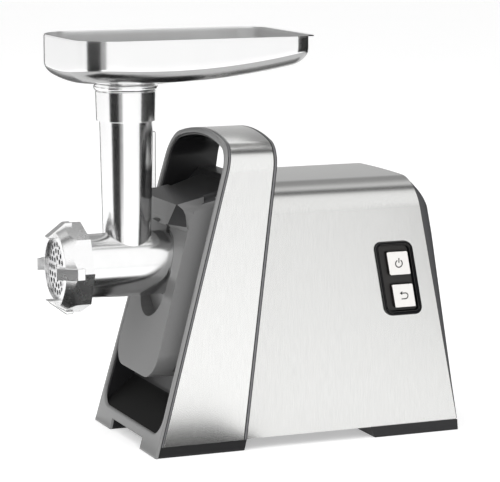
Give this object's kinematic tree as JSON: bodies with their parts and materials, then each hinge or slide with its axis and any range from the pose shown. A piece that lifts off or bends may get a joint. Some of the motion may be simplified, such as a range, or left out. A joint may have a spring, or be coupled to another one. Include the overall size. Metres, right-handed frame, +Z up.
{
  "type": "electric meat grinder",
  "caption": "Countertop electric meat grinder: leaning steel-wrapped tower with carry handle, motor body, feed tube, deep tray and ring nut with perforated plate.",
  "frame": {"origin": "on the standing surface, under the middle of the whole machine", "axes": "+X to the control panel's side, +Y to the rear, +Z up"},
  "size_m": [0.164, 0.3656, 0.3626],
  "materials": {
    "grey_plastic": "satin moulded",
    "dark_plastic": "satin moulded",
    "black_plastic": "satin",
    "brushed_steel": "brushed",
    "polished_steel": "polished",
    "cast_aluminium": "polished cast",
    "tool_steel": "ground",
    "button_plastic": "satin",
    "rubber": "matt",
    "zinc": "plated",
    "gear_plastic": "moulded acetal",
    "bronze": "sintered",
    "copper": "enamelled",
    "laminations": "stacked",
    "carbon": "matt",
    "circuit_board": "solder resist",
    "nylon": "moulded"
  },
  "bodies": {
    "base": {"tower_frame": "grey_plastic", "tower_skin": "brushed_steel", "front_trim": "black_plastic", "seam_trim": "black_plastic", "arch_liner": "dark_plastic", "drive_housing": "dark_plastic", "front_well": "dark_plastic", "body_skin": "brushed_steel", "rear_cover": "dark_plastic", "cover_screws": "zinc", "base_plate": "dark_plastic", "base_screws": "zinc", "front_feet": "rubber", "rear_feet": "rubber", "control_bezel": "black_plastic", "switch_board": "circuit_board", "speed_board": "circuit_board", "cable_gland": "rubber", "output_bushes": "bronze", "second_pin": "zinc", "first_pin": "zinc", "gearbox_shell": "zinc", "gearbox_cover": "zinc", "gearbox_screws": "zinc", "gearbox_bracket": "zinc", "rubber_mounts": "rubber", "stator_core": "laminations", "field_coils": "copper", "motor_bracket": "zinc", "motor_bearings": "zinc", "motor_bolts": "zinc", "carbon_brushes": "carbon", "brush_holders": "bronze"},
    "power": {"power_button": "button_plastic"},
    "reverse": {"reverse_button": "button_plastic"},
    "lock": {"lock_knob": "black_plastic"},
    "head": {"grinder_head": "cast_aluminium", "cutting_plate": "tool_steel", "auger_bush": "nylon"},
    "nut": {"ring_nut": "cast_aluminium"},
    "screw": {"auger": "cast_aluminium", "cutting_knife": "tool_steel"},
    "tray": {"tray": "polished_steel"},
    "output": {"output_gear": "gear_plastic", "output_shaft": "zinc", "drive_socket": "zinc"},
    "second": {"second_gear": "gear_plastic"},
    "first": {"first_gear": "gear_plastic"},
    "rotor": {"motor_pinion": "zinc", "motor_shaft": "zinc", "armature_core": "laminations", "armature_winding": "copper", "commutator": "copper", "cooling_fan": "dark_plastic"}
  },
  "joints": [
    {"name": "output_turn", "type": "hinge", "parent": "base", "child": "output", "pos_m": [0, 0, 0.1593], "axis": [0, 1, 0], "continuous": true},
    {"name": "second_turn", "type": "hinge", "parent": "base", "child": "second", "pos_m": [0.024, 0, 0.12123], "axis": [0, 1, 0], "continuous": true},
    {"name": "first_turn", "type": "hinge", "parent": "base", "child": "first", "pos_m": [-0.01566, 0, 0.11242], "axis": [0, 1, 0], "continuous": true},
    {"name": "motor_turn", "type": "hinge", "parent": "base", "child": "rotor", "pos_m": [0, 0, 0.08], "axis": [0, 1, 0], "continuous": true},
    {"name": "head_slide", "type": "slide", "parent": "base", "child": "head", "axis": [0, -1, 0], "range_m": [0, 0.06]},
    {"name": "auger_turn", "type": "hinge", "parent": "head", "child": "screw", "pos_m": [0, 0, 0.1593], "axis": [0, 1, 0], "continuous": true},
    {"name": "nut_turn", "type": "hinge", "parent": "head", "child": "nut", "pos_m": [0, 0, 0.1593], "axis": [0, 1, 0], "range_deg": [0, 360]},
    {"name": "tray_lift", "type": "slide", "parent": "head", "child": "tray", "axis": [0, 0, 1], "range_m": [0, 0.06]},
    {"name": "power_press", "type": "slide", "parent": "base", "child": "power", "axis": [-0.9994, 0, -0.036], "range_m": [0, 0.002], "stiffness_N_per_m": 800},
    {"name": "reverse_press", "type": "slide", "parent": "base", "child": "reverse", "axis": [-0.9994, 0, -0.036], "range_m": [0, 0.002], "stiffness_N_per_m": 800},
    {"name": "lock_turn", "type": "hinge", "parent": "base", "child": "lock", "pos_m": [0, -0.04325, 0.1593], "axis": [-1, 0, 0], "range_deg": [0, 360]}
  ],
  "couplings": [
    {"joint": "auger_turn", "follows": "output_turn", "ratio": 1},
    {"joint": "second_turn", "follows": "output_turn", "ratio": -4},
    {"joint": "first_turn", "follows": "output_turn", "ratio": 16},
    {"joint": "motor_turn", "follows": "output_turn", "ratio": -80}
  ]
}
